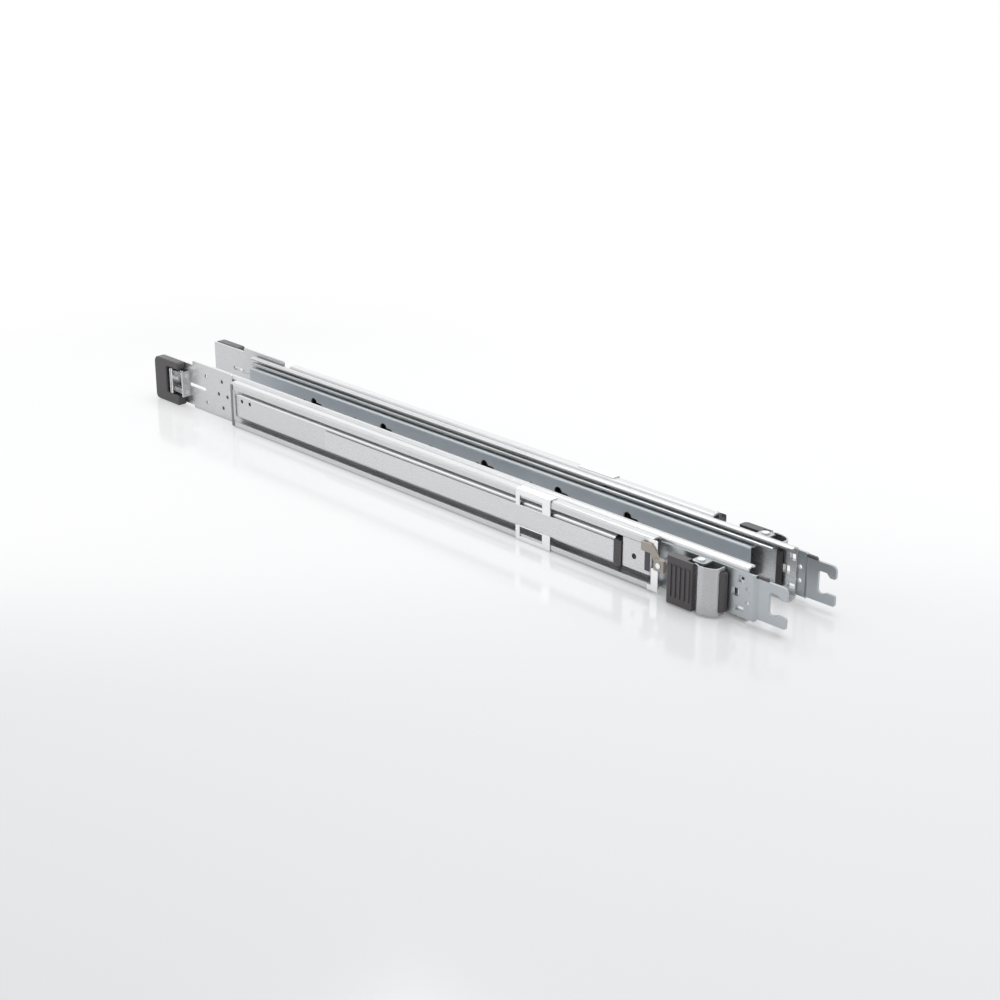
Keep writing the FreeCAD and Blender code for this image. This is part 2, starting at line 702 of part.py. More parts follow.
def make_latch_spring():
    """Leaf spring: its foot lies on the bracket, its tip presses the inside of the grip."""
    x_foot = pivot_x - ear_half
    x_bend = x_foot - spring_reach
    d_foot = d_plate_out - spring_sheet / 2
    d_tip = -grip_proud + grip_wall + latch_sheet + spring_sheet
    x_turn = x_bend + spring_rise
    path = [(x_foot, d_foot), (x_turn, d_foot), (x_bend, (d_foot + d_tip) / 2), (x_turn, d_tip)]
    low = mid_z - spring_drop
    nodes["latch_spring"] = bar_z(bent_sheet(path, spring_sheet, spring_round), low, low + spring_width)


def make_lock_lever():
    """Beige release lever of the slide: hub on its pin, thumb tab in front and a long arm over the base."""
    d0, d1 = -lock_sheet - lock_play, -lock_play
    d_hub = 2 * lock_play
    hub = stud_y(lock_x, lock_z, lock_hub, d0, d_hub)
    half, rise, run = lock_hub / 2, lock_rise, lock_run
    arm = bar_y([(lock_x - half, lock_z - half, 0), (lock_x + half, lock_z + half, 0),
                 (lock_x - run / 2, lock_z + rise, 0), (lock_x - run, lock_z + rise, 0),
                 (lock_x - run, lock_z + rise / 2, 0), (lock_x - run / 2, lock_z + rise / 2, 0)], d0, d1)
    tab = block(lock_x - lock_hub, lock_x + lock_tab, d0 - tab_rise, d1, lock_z - lock_hub, lock_z + lock_hub)
    lever = hub.fuse([arm, tab]).cut(stud_y(lock_x, lock_z, lock_pin + fit, d0 - tab_rise, d_hub))
    nodes["lock_lever"] = lever.removeSplitter()
    d_head = d0 - tab_rise
    pin = rod_y(lock_x, lock_z, lock_pin, d_head, d_hub)
    pin = pin.fuse(stud_y(lock_x, lock_z, lock_pin, d_hub, channel_depth))
    head = stud_y(lock_x, lock_z, lock_pin + lock_play, d_head - lock_play, d_head)
    collar = stud_y(lock_x, lock_z, lock_pin + lock_sheet, d_hub + lock_play / 2, d_plate_out)
    nodes["lock_pivot"] = pin.fuse([head, collar]).removeSplitter()


def make_extension_bracket():
    """Rear bracket: a tongue with a raised land and a long slot, joggled to the plate on the rack post."""
    t = extension_sheet
    d_flat = channel_depth - channel_sheet - extension_play - t / 2
    d_land = land_depth + t / 2
    low, high = extension_low, extension_high
    land_low, land_high = mid_z - land_height / 2, mid_z + land_height / 2
    slope = (d_flat - d_land) * land_slope
    path = [(d_flat, low), (d_flat, land_low - slope), (d_land, land_low), (d_land, land_high),
            (d_flat, land_high + slope), (d_flat, high)]
    x_tongue = channel_rear + step_gap
    tongue = bar_x(bent_sheet(path, t, bend), x_tongue, strip_front)
    slot_half = shoulder_radius + extension_play
    slot_rear, slot_front = first_shoulder - slot_half - extension_play, strip_front - slot_margin
    tongue = tongue.cut(block(slot_rear, slot_front, 0, d_land + t, mid_z - slot_half, mid_z + slot_half))
    plate_front = plate_rear + rear_plate_length
    x_back = x_guard_end + backing_inset
    plan = [(x_back, d_rear_plate), (plate_front + step_run / 2, d_rear_plate),
            (channel_rear - step_run / 2, d_flat), (x_tongue + step_run / 2, d_flat)]
    blank = bar_z(bent_sheet(plan, t, bend), 0, rear_plate_high)
    side = [(x_back, backing_inset, tip_round), (plate_rear, backing_inset, 0), (plate_rear, 0, 0),
            (plate_front, 0, 0),
            (plate_front, low, 0), (x_tongue + step_run / 2, low, 0), (x_tongue + step_run / 2, high, 0),
            (plate_front, high, 0), (plate_front, rear_plate_high, tip_round),
            (plate_rear, rear_plate_high, tip_round), (plate_rear, rear_plate_high - backing_top, 0),
            (x_back, rear_plate_high - backing_top, tip_round)]
    plate = blank.common(bar_y(side, 0, channel_depth + t))
    flange = block(flange_x - t, flange_x, -flange_reach, d_rear_plate + t / 2, neck_low, neck_high)
    inner_wall = block(wall_x, wall_x + t, -flange_reach, d_rear_plate, neck_low, neck_high)
    d_face = d_rear_plate - t / 2
    d_past = channel_depth + t
    cuts = [slot_y(plate_rear - slot_start, plate_rear + slot_end, slot_z, slot_radius, d_face, d_past)]
    cuts += [stud_y(plate_rear + x, z, small_hole_radius, 0, d_past) for x, z in rear_plate_holes]
    cuts += [stud_y(channel_rear + x, z, small_hole_radius, 0, d_land + t) for x, z in land_holes]
    cuts += [stud_x(pin_depth, z, pin_radius + fit, flange_x - t, wall_x + t) for z in pin_heights]
    nodes["extension_bracket"] = tongue.fuse([plate, flange, inner_wall]).cut(cuts).removeSplitter()


def make_rear_guard():
    """Moulded C-shaped guard around the pins, screwed to the rear bracket's plate."""
    x0, x1 = x_guard_end, plate_rear
    back = x0 + guard_back
    top = rear_plate_high
    window_low = pin_heights[0] - guard_window
    window_high = pin_heights[1] + guard_window
    side = [(x0, 0, hook_round), (x1, 0, 0), (x1, window_low, 0), (back, window_low, mouth_round),
            (back, window_high, mouth_round), (x1, window_high, 0), (x1, top, 0), (x0, top, hook_round)]
    guard = bar_y(side, -flange_reach, d_rear_plate - extension_sheet / 2)
    holes = [stud_x(pin_depth, z, pin_radius + guard_play, x0, back + mouth_round) for z in pin_heights]
    nodes["rear_guard"] = guard.cut(holes).removeSplitter()


def make_rear_pins():
    """Two sprung pins for the rear rack post, tied by a yoke; each has a coil spring behind the yoke."""
    tip = x_guard_end + end_gap
    yoke_x = flange_x + end_gap
    end = wall_x + extension_sheet + end_gap
    nodes["rear_pins"] = Part.makeCompound([rod_x(pin_depth, z, pin_radius, tip, end) for z in pin_heights])
    d_back = d_rear_plate - extension_sheet / 2 - end_gap
    reach = pin_radius + yoke_sheet
    yoke = block(yoke_x, yoke_x + yoke_sheet, end_gap - flange_reach, d_back, pin_heights[0] - reach,
                 pin_heights[1] + reach)
    holes = [stud_x(pin_depth, z, pin_radius, yoke_x, yoke_x + yoke_sheet) for z in pin_heights]
    nodes["pin_yoke"] = yoke.cut(holes)
    start = yoke_x + yoke_sheet
    bore = pin_radius + spring_gap
    springs = []
    for z in pin_heights:
        coil = stud_x(pin_depth, z, bore + 2 * spring_wire, start, wall_x)
        springs.append(coil.cut(stud_x(pin_depth, z, bore, start, wall_x)))
    nodes["pin_springs"] = Part.makeCompound(springs)


def make_rear_bumper():
    """Rubber stop at the closed end of the slide."""
    z0, z1 = mid_z - bumper_height / 2, mid_z + bumper_height / 2
    d_back = d_outer + outer_sheet
    nodes["rear_bumper"] = block(x_rear, x_rear + bumper_length, d_back, d_outer_lip - bumper_inset, z0, z1)


for make in (make_outer_member, make_middle_member, make_inner_member, make_cages, make_support_channel,
             make_joint_rivets, make_guide_strip, make_strip_rivets, make_guide_clips, make_stop_block,
             make_latch_base, make_front_bracket, make_latch, make_latch_spring, make_lock_lever,
             make_extension_bracket, make_rear_guard, make_rear_pins, make_rear_bumper):
    make()

for name, shape in nodes.items():
    shape.exportStep("parts/left_" + name + ".step")
    shape.mirror(V(0, 0, 0), V(0, 1, 0)).exportStep("parts/right_" + name + ".step")
    box = shape.BoundBox
    limits = [round(value, 1) for value in (box.XMin, box.XMax, box.YMin, box.YMax, box.ZMin, box.ZMax)]
    print(name, len(shape.Solids), round(shape.Volume), limits, shape.isValid())
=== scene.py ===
import math

import bmesh
import bpy
import numpy as np
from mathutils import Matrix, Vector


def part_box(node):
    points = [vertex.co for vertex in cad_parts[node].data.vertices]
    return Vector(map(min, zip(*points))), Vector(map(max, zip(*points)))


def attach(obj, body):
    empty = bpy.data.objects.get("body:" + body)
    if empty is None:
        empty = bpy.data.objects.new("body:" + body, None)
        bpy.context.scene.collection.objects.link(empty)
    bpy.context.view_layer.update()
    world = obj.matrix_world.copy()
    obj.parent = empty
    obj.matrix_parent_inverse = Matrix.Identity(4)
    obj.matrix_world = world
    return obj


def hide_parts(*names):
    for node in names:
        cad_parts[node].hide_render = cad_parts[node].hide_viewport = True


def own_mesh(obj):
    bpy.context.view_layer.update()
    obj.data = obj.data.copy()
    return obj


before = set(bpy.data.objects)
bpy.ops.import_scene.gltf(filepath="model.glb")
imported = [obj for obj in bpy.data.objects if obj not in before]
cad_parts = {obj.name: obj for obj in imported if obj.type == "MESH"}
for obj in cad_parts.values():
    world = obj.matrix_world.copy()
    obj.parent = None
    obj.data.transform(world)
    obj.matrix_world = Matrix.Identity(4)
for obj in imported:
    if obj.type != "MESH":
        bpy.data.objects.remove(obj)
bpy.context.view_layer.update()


# Table top and studio.
# The pair stands on a glossy white sheet that runs to the horizon. The light is soft: a wide lamp
# overhead, a weak low one behind and one at each side. The camera looks down at 21 degrees.
camera_turn = 46.108
camera_tilt = 21.434
camera_place = (1.12966, -1.03361, 0.59102)
camera_data = bpy.data.cameras.new("camera")
camera_data.sensor_width = 36.0
camera_data.lens = 71.17
camera_data.clip_start = 0.05
camera_data.clip_end = 60.0
camera = bpy.data.objects.new("camera", camera_data)
camera.location = camera_place
camera.rotation_euler = (math.radians(90.0 - camera_tilt), 0.0, math.radians(camera_turn))
bpy.context.scene.collection.objects.link(camera)
bpy.context.scene.camera = camera
bpy.context.scene.view_settings.view_transform = "Standard"


def soft_lamp(name, place, aim, size, power):
    """A rectangular area lamp at a place, turned so that its -Z looks at the aim point."""
    data = bpy.data.lights.new(name, "AREA")
    data.shape = "RECTANGLE"
    data.size, data.size_y = size
    data.energy = power
    lamp = bpy.data.objects.new(name, data)
    ahead = np.array(aim, float) - np.array(place, float)
    level = math.hypot(ahead[0], ahead[1])
    lamp.location = place
    lamp.rotation_euler = (math.atan2(level, -ahead[2]), 0.0, math.atan2(-ahead[0], ahead[1]))
    bpy.context.scene.collection.objects.link(lamp)


soft_lamp("overhead", place=(0.0, 0.3, 1.6), aim=(0.0, 0.0, 0.0), size=(2.2, 1.2), power=20.0)
soft_lamp("behind", place=(-1.3, 1.2, 0.64), aim=(0.0, 0.0, 0.0), size=(2.6, 0.42), power=1.8)
soft_lamp("left_side", place=(-1.2, -1.6, 0.9), aim=(0.0, 0.0, 0.0), size=(1.4, 1.0), power=6.0)
soft_lamp("front_side", place=(1.9, -0.2, 0.8), aim=(0.2, 0.0, 0.0), size=(1.0, 0.8), power=4.0)


def maths(tree, operation, first, second):
    """A math node over two inputs, each a socket or a number."""
    node = tree.nodes.new("ShaderNodeMath")
    node.operation = operation
    for socket, value in zip(node.inputs, (first, second)):
        if isinstance(value, (int, float)):
            socket.default_value = value
        else:
            tree.links.new(value, socket)
    return node.outputs[0]


def seen_directly(tree):
    """One for a camera, mirror or clear-glass ray, and nothing for light that falls on things."""
    path = tree.nodes.new("ShaderNodeLightPath")
    seen = maths(tree, "MAXIMUM", path.outputs["Is Camera Ray"], path.outputs["Is Glossy Ray"])
    return maths(tree, "MAXIMUM", seen, path.outputs["Is Transmission Ray"])


def ramp(tree, value, start, end, low, high):
    """A smooth step of the value from start to end, put on the range from low to high."""
    node = tree.nodes.new("ShaderNodeMapRange")
    node.interpolation_type = "SMOOTHSTEP"
    ranges = {"From Min": start, "From Max": end, "To Min": low, "To Max": high}
    for socket, number in ranges.items():
        node.inputs[socket].default_value = number
    tree.links.new(value, node.inputs["Value"])
    return node.outputs["Result"]


# The world is white where it is seen, and half as bright and a little cool as a light.
world = bpy.data.worlds.new("studio")
world.use_nodes = True
bpy.context.scene.world = world
sky = world.node_tree
sky.nodes.clear()
sky_out = sky.nodes.new("ShaderNodeOutputWorld")
sky_seen = sky.nodes.new("ShaderNodeBackground")
sky_seen.inputs["Color"].default_value = (1.0, 1.0, 1.0, 1.0)
sky_light = sky.nodes.new("ShaderNodeBackground")
sky_light.inputs["Color"].default_value = (0.96, 0.98, 1.0, 1.0)
sky_light.inputs["Strength"].default_value = 0.5
sky_mix = sky.nodes.new("ShaderNodeMixShader")
sky.links.new(seen_directly(sky), sky_mix.inputs["Fac"])
sky.links.new(sky_light.outputs["Background"], sky_mix.inputs[1])
sky.links.new(sky_seen.outputs["Background"], sky_mix.inputs[2])
sky.links.new(sky_mix.outputs["Shader"], sky_out.inputs["Surface"])


def grid_mesh(name, points):
    """Mesh over a grid of points (u, v, 3): each face joins four neighbours."""
    count_u, count_v = points.shape[:2]
    index = np.arange(count_u * count_v).reshape(count_u, count_v)
    faces = np.stack([index[:-1, :-1], index[1:, :-1], index[1:, 1:], index[:-1, 1:]], axis=-1)
    mesh = bpy.data.meshes.new(name)
    mesh.from_pydata(points.reshape(-1, 3), [], faces.reshape(-1, 4))
    mesh.update()
    piece = bpy.data.objects.new(name, mesh)
    bpy.context.scene.collection.objects.link(piece)
    return piece


# The sheet is a square of 12 m, a tenth of a millimetre under the rails.
sheet_reach = 6.0
sheet_height = -0.0001
steps = np.linspace(-sheet_reach, sheet_reach, 3)
sheet_x, sheet_y = np.meshgrid(steps, steps, indexing="ij")
sheet_points = np.stack([sheet_x, sheet_y, np.full_like(sheet_x, sheet_height)], axis=-1)
table_top = grid_mesh("table_top", sheet_points)
sheet_finish = bpy.data.materials.new("white_gloss_sheet")
sheet_finish.use_nodes = True
sheet = sheet_finish.node_tree
gloss = sheet.nodes["Principled BSDF"]
gloss.inputs["Base Color"].default_value = (0.78, 0.78, 0.79, 1.0)
gloss.inputs["Roughness"].default_value = 0.13
gloss.inputs["IOR"].default_value = 1.5

# The sheet fades to the white of the backdrop, fully beyond the rails and half of the way close to
# them. Towards the front right it keeps its own tone and the rails' reflection, and far off it is
# white on every side. The distance is taken from the rectangle that the two rails stand in.
rails_half = {"X": 0.37, "Y": 0.046}
to_front_right = (0.72, 0.69)
spot = sheet.nodes.new("ShaderNodeTexCoord")
axes = sheet.nodes.new("ShaderNodeSeparateXYZ")
sheet.links.new(spot.outputs["Object"], axes.inputs["Vector"])
beyond = []
for axis, half in rails_half.items():
    over = maths(sheet, "SUBTRACT", maths(sheet, "ABSOLUTE", axes.outputs[axis], 0.0), half)
    beyond.append(maths(sheet, "POWER", maths(sheet, "MAXIMUM", over, 0.0), 2.0))
distance = maths(sheet, "SQRT", maths(sheet, "ADD", *beyond), 0.0)
along = maths(sheet, "MULTIPLY", axes.outputs["X"], to_front_right[0])
aside = maths(sheet, "MULTIPLY", axes.outputs["Y"], to_front_right[1])
frontward = maths(sheet, "SUBTRACT", along, aside)
beside_rails = ramp(sheet, distance, start=0.02, end=0.35, low=0.5, high=1.0)
behind_rails = ramp(sheet, frontward, start=0.0, end=0.42, low=1.0, high=0.0)
far_off = ramp(sheet, distance, start=1.0, end=2.2, low=0.0, high=1.0)
white = maths(sheet, "MAXIMUM", maths(sheet, "MULTIPLY", beside_rails, behind_rails), far_off)
backdrop = sheet.nodes.new("ShaderNodeEmission")
backdrop.inputs["Color"].default_value = (1.0, 1.0, 1.0, 1.0)
backdrop_mix = sheet.nodes.new("ShaderNodeMixShader")
sheet.links.new(maths(sheet, "MULTIPLY", white, seen_directly(sheet)), backdrop_mix.inputs["Fac"])
sheet.links.new(gloss.outputs["BSDF"], backdrop_mix.inputs[1])
sheet.links.new(backdrop.outputs["Emission"], backdrop_mix.inputs[2])
sheet.links.new(backdrop_mix.outputs["Shader"], sheet.nodes["Material Output"].inputs["Surface"])
table_top.data.materials.append(sheet_finish)


# Outer and middle members.
# Both are cold-rolled steel strip with bright zinc plating, curled into raceways at the top and
# bottom. The rolling lines run along the rail, and the zinc has a faint cloud.
both_sides = (("left_", -1.0), ("right_", 1.0))  # how a rail's names start, and its way out along Y


def effect_group(name, *more_inputs):
    """Starts a shader node group that takes a place, two colours, two roughnesses and more numbers,
    and gives a colour, a roughness and a height. Returns it with what it is given and gives."""
    group = bpy.data.node_groups.new(name, "ShaderNodeTree")
    inputs = [("Vector", "Vector"), ("Dark", "Color"), ("Light", "Color")]
    inputs += [("Smooth", "Float"), ("Dull", "Float")]
    for socket, kind in inputs + [(extra, "Float") for extra in more_inputs]:
        group.interface.new_socket(name=socket, in_out="INPUT", socket_type="NodeSocket" + kind)
    for socket, kind in (("Color", "Color"), ("Roughness", "Float"), ("Height", "Float")):
        group.interface.new_socket(name=socket, in_out="OUTPUT", socket_type="NodeSocket" + kind)
    group_in = group.nodes.new("NodeGroupInput")
    group_out = group.nodes.new("NodeGroupOutput")
    return group, group_in.outputs, group_out.inputs


def noise(tree, place, scale, detail):
    """A noise texture over a place."""
    node = tree.nodes.new("ShaderNodeTexNoise")
    node.inputs["Scale"].default_value = scale
    node.inputs["Detail"].default_value = detail
    tree.links.new(place, node.inputs["Vector"])
    return node.outputs["Fac"]


def mixed(tree, kind, first, second, factor, blend="MIX"):
    """A mix of two numbers or two colours. The factor is a number or a socket."""
    node = tree.nodes.new("ShaderNodeMix")
    node.data_type = kind
    node.blend_type = blend
    if isinstance(factor, float):
        node.inputs["Factor"].default_value = factor
    else:
        tree.links.new(factor, node.inputs["Factor"])
    tree.links.new(first, node.inputs["A"])
    tree.links.new(second, node.inputs["B"])
    return node.outputs["Result"]


# A noise value rarely leaves this range.
noise_low, noise_high = 0.3, 0.7


def ranged(tree, value, low, high):
    """A noise value put on the range between two sockets."""
    node = tree.nodes.new("ShaderNodeMapRange")
    node.inputs["From Min"].default_value = noise_low
    node.inputs["From Max"].default_value = noise_high
    for socket, source in (("Value", value), ("To Min", low), ("To Max", high)):
        tree.links.new(source, node.inputs[socket])
    return node.outputs["Result"]


# Rolling lines are noise drawn out along X, and shade is painted into the narrow gaps from their
# ambient occlusion.
rolled, given, gives = effect_group("rolled_steel", "Gap_Shade_Power")
drawn_out = rolled.nodes.new("ShaderNodeMapping")
drawn_out.inputs["Scale"].default_value = (8.0, 2600.0, 2600.0)
rolled.links.new(given["Vector"], drawn_out.inputs["Vector"])
lines = noise(rolled, drawn_out.outputs["Vector"], scale=1.0, detail=4.0)
cloud = noise(rolled, given["Vector"], scale=22.0, detail=3.0)
surface = mixed(rolled, "FLOAT", lines, cloud, factor=0.4)
# Painted shade: ambient occlusion within 3 mm darkens the colour in narrow gaps and corners, more
# for a higher power.
nook = rolled.nodes.new("ShaderNodeAmbientOcclusion")
nook.samples = 6
nook.inputs["Distance"].default_value = 0.003
painted_gap_shade = maths(rolled, "POWER", nook.outputs["AO"], given["Gap_Shade_Power"])
tone = mixed(rolled, "RGBA", given["Dark"], given["Light"], factor=surface)
darkened = mixed(rolled, "RGBA", tone, painted_gap_shade, factor=1.0, blend="MULTIPLY")
rolled.links.new(darkened, gives["Color"])
rolled.links.new(ranged(rolled, surface, given["Smooth"], given["Dull"]), gives["Roughness"])
rolled.links.new(lines, gives["Height"])


def from_group(name, group, dark, light, smooth, dull, edge_radius, bump_depth):
    """A material whose colour, roughness and bump come from an effect group in Object coordinates,
    with its edges rounded off in the shading."""
    finish = bpy.data.materials.new(name)
    finish.use_nodes = True
    nodes, links = finish.node_tree.nodes, finish.node_tree.links
    principled = nodes["Principled BSDF"]
    where = nodes.new("ShaderNodeTexCoord")
    effect = nodes.new("ShaderNodeGroup")
    effect.name = "effect"
    effect.node_tree = group
    effect.inputs["Dark"].default_value = (*dark, 1.0)
    effect.inputs["Light"].default_value = (*light, 1.0)
    effect.inputs["Smooth"].default_value = smooth
    effect.inputs["Dull"].default_value = dull
    edge = nodes.new("ShaderNodeBevel")
    edge.samples = 4
    edge.inputs["Radius"].default_value = edge_radius
    bump = nodes.new("ShaderNodeBump")
    bump.inputs["Strength"].default_value = 0.15
    bump.inputs["Distance"].default_value = bump_depth
    links.new(where.outputs["Object"], effect.inputs["Vector"])
    links.new(effect.outputs["Color"], principled.inputs["Base Color"])
    links.new(effect.outputs["Roughness"], principled.inputs["Roughness"])
    links.new(effect.outputs["Height"], bump.inputs["Height"])
    links.new(edge.outputs["Normal"], bump.inputs["Normal"])
    links.new(bump.outputs["Normal"], principled.inputs["Normal"])
    return finish


def steel(name, dark, light, smooth, dull, gap_shade, metallic=0.9):
    """Rolled steel: shade painted from ambient occlusion darkens its narrow gaps, and metallic is
    how bare the metal is.
    """
    finish = from_group(name, rolled, dark, light, smooth, dull,
                        edge_radius=0.00025, bump_depth=0.00005)
    finish.node_tree.nodes["Principled BSDF"].inputs["Metallic"].default_value = metallic
    finish.node_tree.nodes["effect"].inputs["Gap_Shade_Power"].default_value = gap_shade
    return finish


def finish_nodes(finish, *names):
    """Gives a finish to CAD nodes of both rails."""
    for side, _ in both_sides:
        for name in names:
            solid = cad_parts[side + name]
            solid.data.materials.clear()
            solid.data.materials.append(finish)


zinc = steel("bright_zinc", dark=(0.59, 0.60, 0.61), light=(0.67, 0.675, 0.68),
             smooth=0.22, dull=0.36, gap_shade=0.35, metallic=0.85)
finish_nodes(zinc, "outer_member", "middle_member")


# Inner member.
# The server's studs hang in it. It is the same strip with a bluer passivated zinc, and its long
# web with the keyholes faces the other rail.
blue_zinc = steel("blue_zinc", dark=(0.51, 0.55, 0.58), light=(0.59, 0.63, 0.66),
                  smooth=0.3, dull=0.44, gap_shade=0.35, metallic=0.75)
finish_nodes(blue_zinc, "inner_member")


# Ball retainers and balls.
# Each retainer is a stamped steel ladder. Its balls are polished chrome steel and roll between the
# raceways of two members.
cage_steel = steel("retainer_steel", dark=(0.45, 0.45, 0.44), light=(0.6, 0.6, 0.58),
                   smooth=0.3, dull=0.5, gap_shade=1.0)
finish_nodes(cage_steel, "outer_cage", "inner_cage")


def shade(mesh, sharp):
    """Shades a mesh smooth over every edge that turns by less than the sharp angle, in degrees."""
    mesh.polygons.foreach_set("use_smooth", np.ones(len(mesh.polygons), bool))
    mesh.set_sharp_from_angle(angle=math.radians(sharp))
    mesh.update()


def closed_piece(name, points, faces, sharp=180.0):
    """A closed mesh from points and faces, with its faces turned outwards."""
    mesh = bpy.data.meshes.new(name)
    mesh.from_pydata(points, [], faces)
    shell = bmesh.new()
    shell.from_mesh(mesh)
    bmesh.ops.recalc_face_normals(shell, faces=shell.faces)
    shell.to_mesh(mesh)
    shell.free()
    shade(mesh, sharp)
    piece = bpy.data.objects.new(name, mesh)
    bpy.context.scene.collection.objects.link(piece)
    return piece


def repeated(name, one, quads, caps, centres):
    """One closed surface, given by its points, its quads and the triangles at its two ends, and
    repeated in one mesh: a point is centre + its place in the surface."""
    centres = np.array(centres, float)
    points = (centres[:, None] + one).reshape(-1, 3)
    step = (np.arange(len(centres)) * len(one))[:, None, None]
    faces = (quads + step).reshape(-1, 4).tolist() + (caps + step).reshape(-1, 3).tolist()
    return closed_piece(name, points, faces)


def turned(name, profile, centres, axis, around):
    """Closed surfaces of revolution in one mesh, one at each centre. The profile is (radius,
    height) from pole to pole: a ring point is centre + height * axis + radius * (cos a * p +
    sin a * q), where p, q and the axis are square to each other. Each pole is one point."""
    profile = np.array(profile, float)
    axis = np.array(axis, float)
    p = np.roll(axis, 1)
    q = np.cross(axis, p)
    angle = np.linspace(0.0, 2.0 * math.pi, around, endpoint=False)
    spoke = np.cos(angle)[:, None] * p + np.sin(angle)[:, None] * q
    rings = profile[1:-1, 1][:, None, None] * axis + profile[1:-1, 0][:, None, None] * spoke
    ends = profile[[0, -1], 1][:, None] * axis
    one = np.concatenate([rings.reshape(-1, 3), ends])
    levels = len(profile) - 2
    index = np.arange(levels * around).reshape(levels, around)
    turn = np.roll(index, -1, axis=1)
    quads = np.stack([index[:-1], turn[:-1], turn[1:], index[1:]], axis=-1).reshape(-1, 4)
    low, high = levels * around, levels * around + 1
    caps = np.concatenate([np.stack([np.full(around, low), turn[0], index[0]], axis=-1),
                           np.stack([np.full(around, high), index[-1], turn[-1]], axis=-1)])
    return repeated(name, one, quads, caps, centres)


ball_steel = steel("ball_steel", dark=(0.72, 0.72, 0.73), light=(0.82, 0.82, 0.83),
                   smooth=0.06, dull=0.14, gap_shade=0.5, metallic=1.0)
ball_places = np.array([-0.090, -0.030, 0.030, 0.090])
along_rail = (1.0, 0.0, 0.0)

# Each row gives the ring, the radius of its balls, how far they lie from the middle between the two
# rails, and the heights of its lower and upper raceway.
ball_rows = (("outer", 0.00175, 0.0238, (0.0032, 0.0388)),
             ("inner", 0.0015, 0.0204, (0.0068, 0.0352)))
ball_levels, ball_around = 13, 16
for side, outward in both_sides:
    for ring, radius, apart, heights in ball_rows:
        lean = np.linspace(-math.pi / 2, math.pi / 2, ball_levels)
        arc = np.stack([radius * np.cos(lean), radius * np.sin(lean)], axis=-1)
        along, up = np.meshgrid(ball_places, heights, indexing="ij")
        spots = np.stack([along, np.full_like(along, outward * apart), up], axis=-1).reshape(-1, 3)
        balls = turned(side + ring + "_bearing_balls", arc, spots, along_rail, ball_around)
        balls.data.materials.append(ball_steel)
        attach(balls, side + ring + "_retainer")
        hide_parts(side + ring + "_balls")


# Support channel and its rivets.
# A deep folded channel of bright zinc steel stiffens the outer member. The rivets that join the two
# have low domed heads.
finish_nodes(zinc, "support_channel")
rivet_zinc = steel("rivet_zinc", dark=(0.62, 0.63, 0.64), light=(0.74, 0.745, 0.75),
                   smooth=0.24, dull=0.4, gap_shade=1.4)
finish_nodes(rivet_zinc, "channel_rivets")
per_metre = 1000.0  # millimetres


def rounded(corners, steps=5):
    """Outline through corners (a, b, size), in millimetres. Each corner is the parabola
    (1-t)^2 p + 2t(1-t) c + t^2 q between the points p and q that lie its size away from it."""
    corners = np.array(corners, float) / per_metre
    middle, size = corners[:, :2], corners[:, 2:]
    back = np.roll(middle, 1, axis=0) - middle
    ahead = np.roll(middle, -1, axis=0) - middle
    first = middle + back / np.linalg.norm(back, axis=1)[:, None] * size
    last = middle + ahead / np.linalg.norm(ahead, axis=1)[:, None] * size
    t = np.linspace(0.0, 1.0, steps)[None, :, None]
    first, middle, last = first[:, None], middle[:, None], last[:, None]
    return ((1 - t) ** 2 * first + 2 * t * (1 - t) * middle + t ** 2 * last).reshape(-1, 2)


# An edge of a plate or a moulding stays crisp where it turns by more than this, in degrees.
crisp_edge = 40.0


def pressed(name, outline, low, high, edge, outward, upright=False):
    """A plate or moulding: its outline is carried from low to high, in millimetres, along Y, or
    along Z where it is upright, and drawn in by the edge at both ends, along its normals."""
    run = np.roll(outline, -1, axis=0) - np.roll(outline, 1, axis=0)
    normal = np.stack([run[:, 1], -run[:, 0]], axis=-1)
    normal /= np.linalg.norm(normal, axis=1)[:, None]
    place = np.array([low, low + edge, high - edge, high]) / per_metre
    inset = np.array([edge, 0.0, 0.0, edge]) / per_metre
    flat = outline[None] - inset[:, None, None] * normal[None]
    depth = np.broadcast_to(place[:, None], flat.shape[:2])
    if upright:
        points = np.stack([flat[..., 0], outward * flat[..., 1], depth], axis=-1)
    else:
        points = np.stack([flat[..., 0], outward * depth, flat[..., 1]], axis=-1)
    levels, count = depth.shape
    index = np.arange(levels * count).reshape(levels, count)
    turn = np.roll(index, -1, axis=1)
    quads = np.stack([index[:-1], turn[:-1], turn[1:], index[1:]], axis=-1).reshape(-1, 4)
    faces = quads.tolist() + [index[0].tolist(), index[-1].tolist()]
    return closed_piece(name, points.reshape(-1, 3), faces, crisp_edge)


# Guide strip, its rivets and the two guide clips.
# The strip is a flat bright bar over the channel's recess. Shouldered rivets hold it off the web,
# and the rear bracket slides between them. The clips are folded from a shinier sheet over the lips.
strip_zinc = steel("strip_zinc", dark=(0.62, 0.625, 0.635), light=(0.69, 0.695, 0.70),
                   smooth=0.22, dull=0.34, gap_shade=0.3, metallic=0.85)
finish_nodes(strip_zinc, "guide_strip")
finish_nodes(rivet_zinc, "strip_rivets")
bright = steel("bright_plate", dark=(0.80, 0.80, 0.80), light=(0.90, 0.90, 0.90),
               smooth=0.14, dull=0.28, gap_shade=0.5)
finish_nodes(bright, "guide_clips")


# Stop block, bridge plate and lock lever.
# The black nylon block ends the guide strip, and a bright zinc plate bridges the channel's front
# end. The beige nylon lever that frees the slide swings on a steel pin.
mould, given, gives = effect_group("moulded_grain")
grain = noise(mould, given["Vector"], scale=1400.0, detail=2.0)
flow = noise(mould, given["Vector"], scale=90.0, detail=3.0)
skin = mixed(mould, "FLOAT", grain, flow, factor=0.5)
tone = mixed(mould, "RGBA", given["Dark"], given["Light"], factor=skin)
mould.links.new(tone, gives["Color"])
mould.links.new(ranged(mould, skin, given["Smooth"], given["Dull"]), gives["Roughness"])
mould.links.new(grain, gives["Height"])


